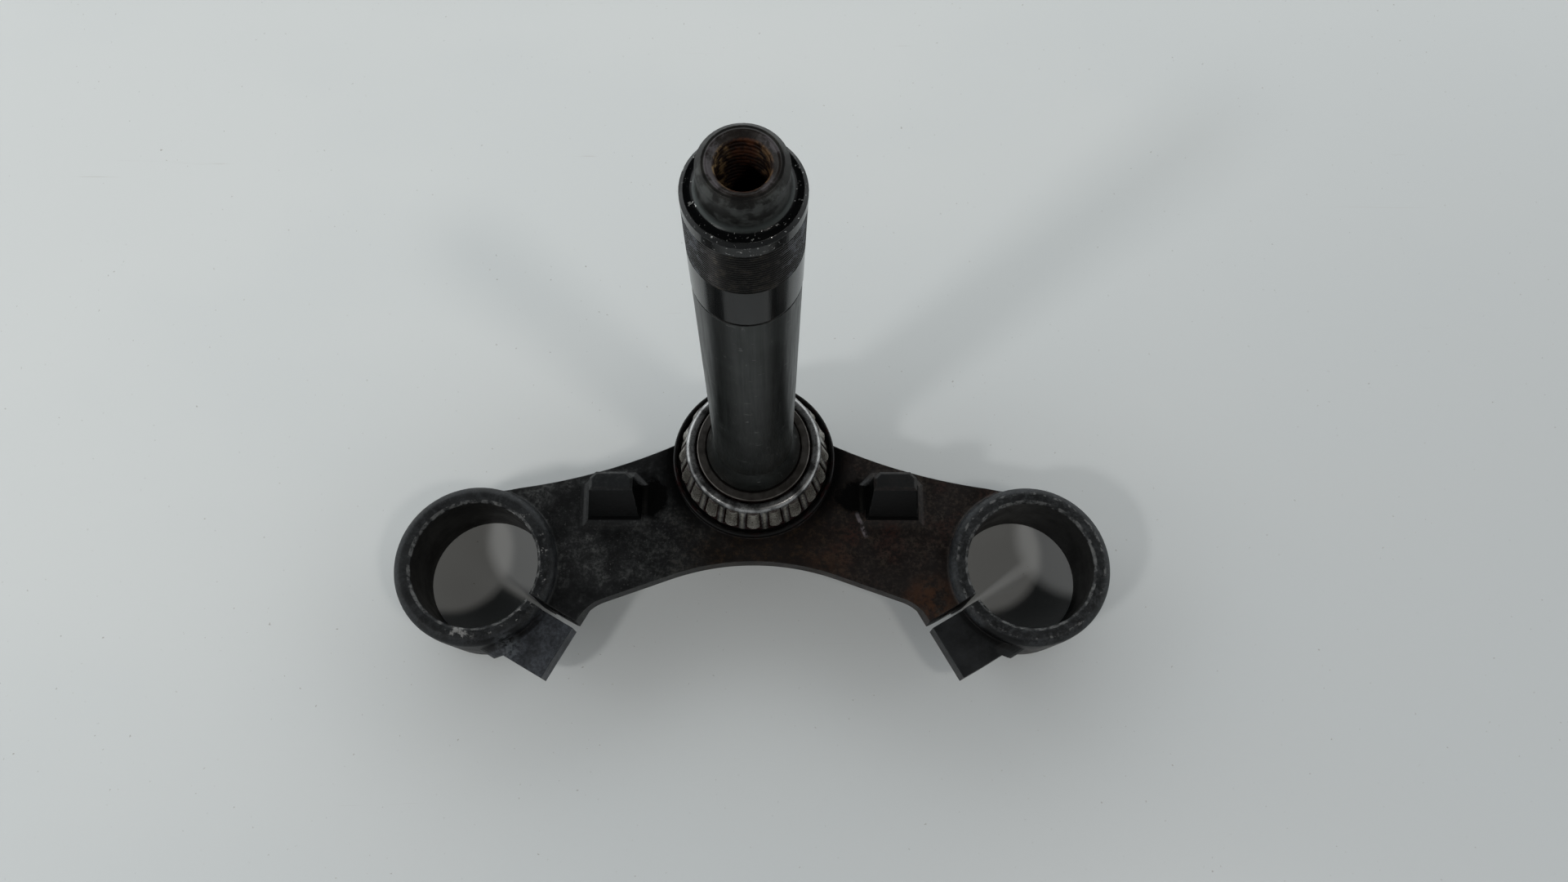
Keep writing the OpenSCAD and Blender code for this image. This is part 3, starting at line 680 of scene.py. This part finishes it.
def stem_mouth(n, colour):
    """The grey spigot, its worn lip and the rust crust in its bore, with painted glints on the crust at the
    bore's sides.
    """
    colour = n.layer(colour, n.mix(n.ramp(n.patch, 0.44, 0.60), SPIGOT_DARK, SPIGOT_PALE), n.spigot)
    colour = n.layer(colour, n.mix(n.ramp(n.patch, 0.40, 0.64), TOP_DARK, TOP_PALE), n.top)
    colour = n.layer(colour, GROOVE_BLACK, n.groove)
    lit_lip = n.mix(n.ramp(n.side, 2.0 * MM, 5.0 * MM), LIP_MIDDLE, LIP_SIDES)
    colour = n.layer(colour, n.mix(n.ramp(n.patch, 0.44, 0.58), LIP_DARK, lit_lip), n.lip)
    flake = n.ramp(n.noise(500, 5, 0.65, shift=3.0), 0.44, 0.62)
    # painted glints on the crust at the bore's left and right, weaker on the right
    sides = n.product(n.ramp(n.side, 1.8 * MM, 3.6 * MM), n.blend(n.ramp(n.x, 0.0, 2.0 * MM), 1.0, 0.45))
    crust = n.mix(flake, CRUST_DARK, n.mix(sides, CRUST_MIDDLE, CRUST_SIDE_GLINTS))
    return n.layer(colour, crust, n.mouth)


def stem_steel():
    """The stem by height: satin tube, smooth seat, worn thread, oily land, grey spigot with a rusty mouth."""
    n = StemNodes()
    colour = stem_mouth(n, stem_thread(n, stem_tube(n)))
    plain = n.rest(n.most(n.thread, n.mouth))
    colour = n.layer(colour, NICK_GREY, n.edges(0.4 * MM), n.ramp(n.patch, 0.36, 0.56), plain, 0.5)

    rough = n.blend(n.ramp(n.drawn, 0.3, 0.7), 0.30, 0.42)
    rough = n.blend(n.most(n.seat, n.land), rough, 0.17)
    rough = n.blend(n.most(n.top, n.spigot), rough, 0.42)
    rough = n.blend(n.thread, rough, 0.30)
    rough = n.blend(n.mouth, rough, 0.55)
    oily = n.product(n.most(n.seat, n.spigot), 0.7)
    grimy = n.product(n.thread, n.rest(n.mottle))
    dull_land = n.product(n.land, n.rest(n.glint))
    metallic = n.blend(n.most(n.mouth, n.lip, oily, grimy, dull_land), 0.7, 0.1)
    normal = n.bump(n.drawn, 0.05 * MM, 0.5, n.rounded(0.3 * MM))
    normal = n.bump(n.product(n.patch, n.most(n.mouth, n.lip)), 0.5 * MM, 0.7, normal)
    return n.finish(colour, rough, normal, metallic=metallic, specular=0.15)


# Steel and rubber of the bearing


def ground_steel(name, tints, rough, grease_and_shade=None, marks=0.3, bright=None):
    """Steel with fine marks, with two optional functions that give masks: one of grease and painted shade,
    one of painted sheen.
    """
    n = Nodes(name)
    cloud = n.noise(190, 4, 0.55)
    fine = n.noise(1700, 2, 0.5)
    dull = n.ramp(cloud, 0.40, 0.64)
    tint = n.mix(dull, *tints)
    metallic = 0.9
    # painted sheen: the bright mask lays paler tints where light falls
    if bright:
        tint = n.layer(tint, n.mix(dull, *SHEEN_TINTS), bright(n))
    if grease_and_shade:
        # grease and painted shade darken the steel where that mask lies
        darkened = n.product(grease_and_shade(n), n.ramp(cloud, 0.05, 0.30), 0.97)
        tint = n.layer(tint, BEARING_GREASE_AND_SHADE, darkened)
        metallic = n.blend(darkened, 0.9, 0.1)
    roughness = n.blend(n.ramp(fine, 0.3, 0.7), rough, rough + 0.12)
    normal = n.bump(fine, 0.02 * MM, marks, n.rounded(0.2 * MM))
    return n.finish(tint, roughness, normal, metallic=metallic, specular=0.3)


def out_of_axes(n):
    """Distance out from the cone on which the rollers' axes lie, square to it."""
    drop = n.product(n.math("SUBTRACT", n.z, ROLLER_MID), math.tan(ROLLER_TILT))
    reach = n.math("SUBTRACT", n.math("ADD", n.distance(n.x, n.y), drop), ROLLER_PITCH_R)
    return n.product(reach, math.cos(ROLLER_TILT))


def roller_grease_and_shade(n):
    """Grease and painted shade on the flanks of the rollers, down in the windows of the cage, and on their
    ends under the rolled rim.
    """
    taper = n.product(n.math("SUBTRACT", n.z, ROLLER_MID), ROLLER_TAPER)
    flanks = n.ramp(n.math("ADD", out_of_axes(n), taper), 1.98 * MM, 1.76 * MM)
    return n.most(flanks, n.ramp(n.z, UNDER_RIM, UNDER_RIM + 0.5 * MM))


def roller_feet(n):
    """The lower, larger ends of the rollers, where painted sheen goes."""
    return n.ramp(n.z, 36.0 * MM, 31.0 * MM)


def from_bar(n):
    """Distance round the cage from the middle of the nearest bar between two windows."""
    turns = n.product(n.math("ARCTAN2", n.y, n.x), ROLLER_COUNT / (2 * math.pi))
    share = n.math("SUBTRACT", 0.5, n.math("PINGPONG", turns, 0.5))
    return n.product(share, n.distance(n.x, n.y), 2 * math.pi / ROLLER_COUNT)


def bar_faces(n):
    """The outer faces of the bars, below the rolled rim, where painted sheen goes."""
    below_rim = n.ramp(n.z, CAGE_TOP - 1.6 * MM, CAGE_TOP - 2.4 * MM)
    return n.product(below_rim, n.ramp(from_bar(n), BAR_HALF, 0.0))


def cage_grease_and_shade(n):
    """Grease and painted shade on the windows' walls and edges, the edge inside the rolled rim and the foot
    of the cage.
    """
    below_rim = n.ramp(n.z, CAGE_TOP - 1.2 * MM, CAGE_TOP - 2.0 * MM)
    walls = n.product(n.ramp(out_of_axes(n), 2.02 * MM, 1.85 * MM), below_rim)
    lip = n.ramp(n.distance(n.x, n.y), CAGE_LIP_R + 0.4 * MM, CAGE_LIP_R)
    foot = n.ramp(n.z, CAGE_FOOT + 1.5 * MM, CAGE_FOOT)
    beside_bar = n.ramp(from_bar(n), BAR_HALF - 0.1 * MM, BAR_HALF + 0.15 * MM)
    edges = n.product(beside_bar, n.ramp(n.z, CAGE_TOP - 2.2 * MM, CAGE_TOP - 2.8 * MM))
    return n.most(walls, lip, foot, edges)


def race_grease_and_shade(n):
    """Grease and painted shade on all of the inner ring below its top face."""
    return n.ramp(n.z, RACE_TOP - 0.25 * MM, RACE_TOP - 0.5 * MM)


def seal_rubber():
    """Black rubber with patches of brown grease."""
    n = Nodes("greasy_rubber")
    fine = n.noise(1200, 3, 0.6)
    grease = n.ramp(n.noise(160, 4, shift=4.0), 0.52, 0.66)
    pale, dark = RUBBER_TINTS
    colour = n.layer(n.mix(fine, dark, pale), SEAL_GREASE, grease, 0.7)
    rough = n.blend(grease, 0.38, 0.22)
    return n.finish(colour, rough, n.bump(fine, 0.06 * MM, 0.5), specular=0.12)


# Pieces


def thread_section(i, count):
    """The four corners of the ridge at step i. Its height fades out at both ends."""
    turn = 2 * math.pi * i / HEAD_THREAD_STEPS
    mid = HEAD_THREAD_LOW + HEAD_THREAD_PITCH * i / HEAD_THREAD_STEPS
    fade = min(1.0, i / HEAD_THREAD_STEPS, (count - i) / HEAD_THREAD_STEPS)
    corners = []
    for rise, lift in ((0.0, -0.44), (1.0, -0.07), (1.0, 0.07), (0.0, 0.44)):
        height = rise * fade * (HEAD_THREAD_RISE + HEAD_THREAD_SINK)
        reach = HEAD_BORE_R + HEAD_THREAD_SINK - height
        corners.append((reach * math.cos(turn), reach * math.sin(turn), mid + lift * HEAD_THREAD_PITCH))
    return corners


def head_bolt_thread(material):
    """The helical thread in the stem's mouth, as one ridge wound on the bore's wall."""
    turns = (HEAD_THREAD_HIGH - HEAD_THREAD_LOW) / HEAD_THREAD_PITCH
    count = int(turns * HEAD_THREAD_STEPS)
    form = bmesh.new()
    rows = [[form.verts.new(place) for place in thread_section(i, count)] for i in range(count + 1)]
    for low_row, high_row in zip(rows, rows[1:]):
        for k in range(4):
            form.faces.new((low_row[k], low_row[(k + 1) % 4], high_row[(k + 1) % 4], high_row[k]))
    form.faces.new(rows[0])
    form.faces.new(rows[-1][::-1])
    bmesh.ops.recalc_face_normals(form, faces=form.faces)
    mesh = bpy.data.meshes.new("head_bolt_thread")
    form.to_mesh(mesh)
    form.free()
    mesh.materials.append(material)
    piece = bpy.data.objects.new("head_bolt_thread", mesh)
    bpy.context.scene.collection.objects.link(piece)
    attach(piece, "yoke_and_stem")


def dress(node, material):
    """Give a CAD node its material."""
    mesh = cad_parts[node].data
    mesh.materials.clear()
    mesh.materials.append(material)


def dress_all():
    """Give every CAD node its material, and add the thread in the stem's mouth."""
    stem = stem_steel()
    dress("yoke", yoke_paint())
    dress("steering_stem", stem)
    dress("bearing_inner_ring", ground_steel("ring_steel", RING_TINTS, 0.34, race_grease_and_shade))
    dress("bearing_cage", ground_steel("cage_steel", CAGE_TINTS, 0.26, cage_grease_and_shade, 0.1, bar_faces))
    dress("seal_washer", ground_steel("washer_steel", WASHER_TINTS, 0.4))
    dress("dust_seal", seal_rubber())
    roller_steel = ground_steel("roller_steel", ROLLER_TINTS, 0.24, roller_grease_and_shade, 0.05, roller_feet)
    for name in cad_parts:
        if name.startswith("roller_"):
            dress(name, roller_steel)
    head_bolt_thread(stem)


make_camera()
make_lights()
make_floor()
dress_all()

bpy.context.scene.view_settings.view_transform = "Standard"
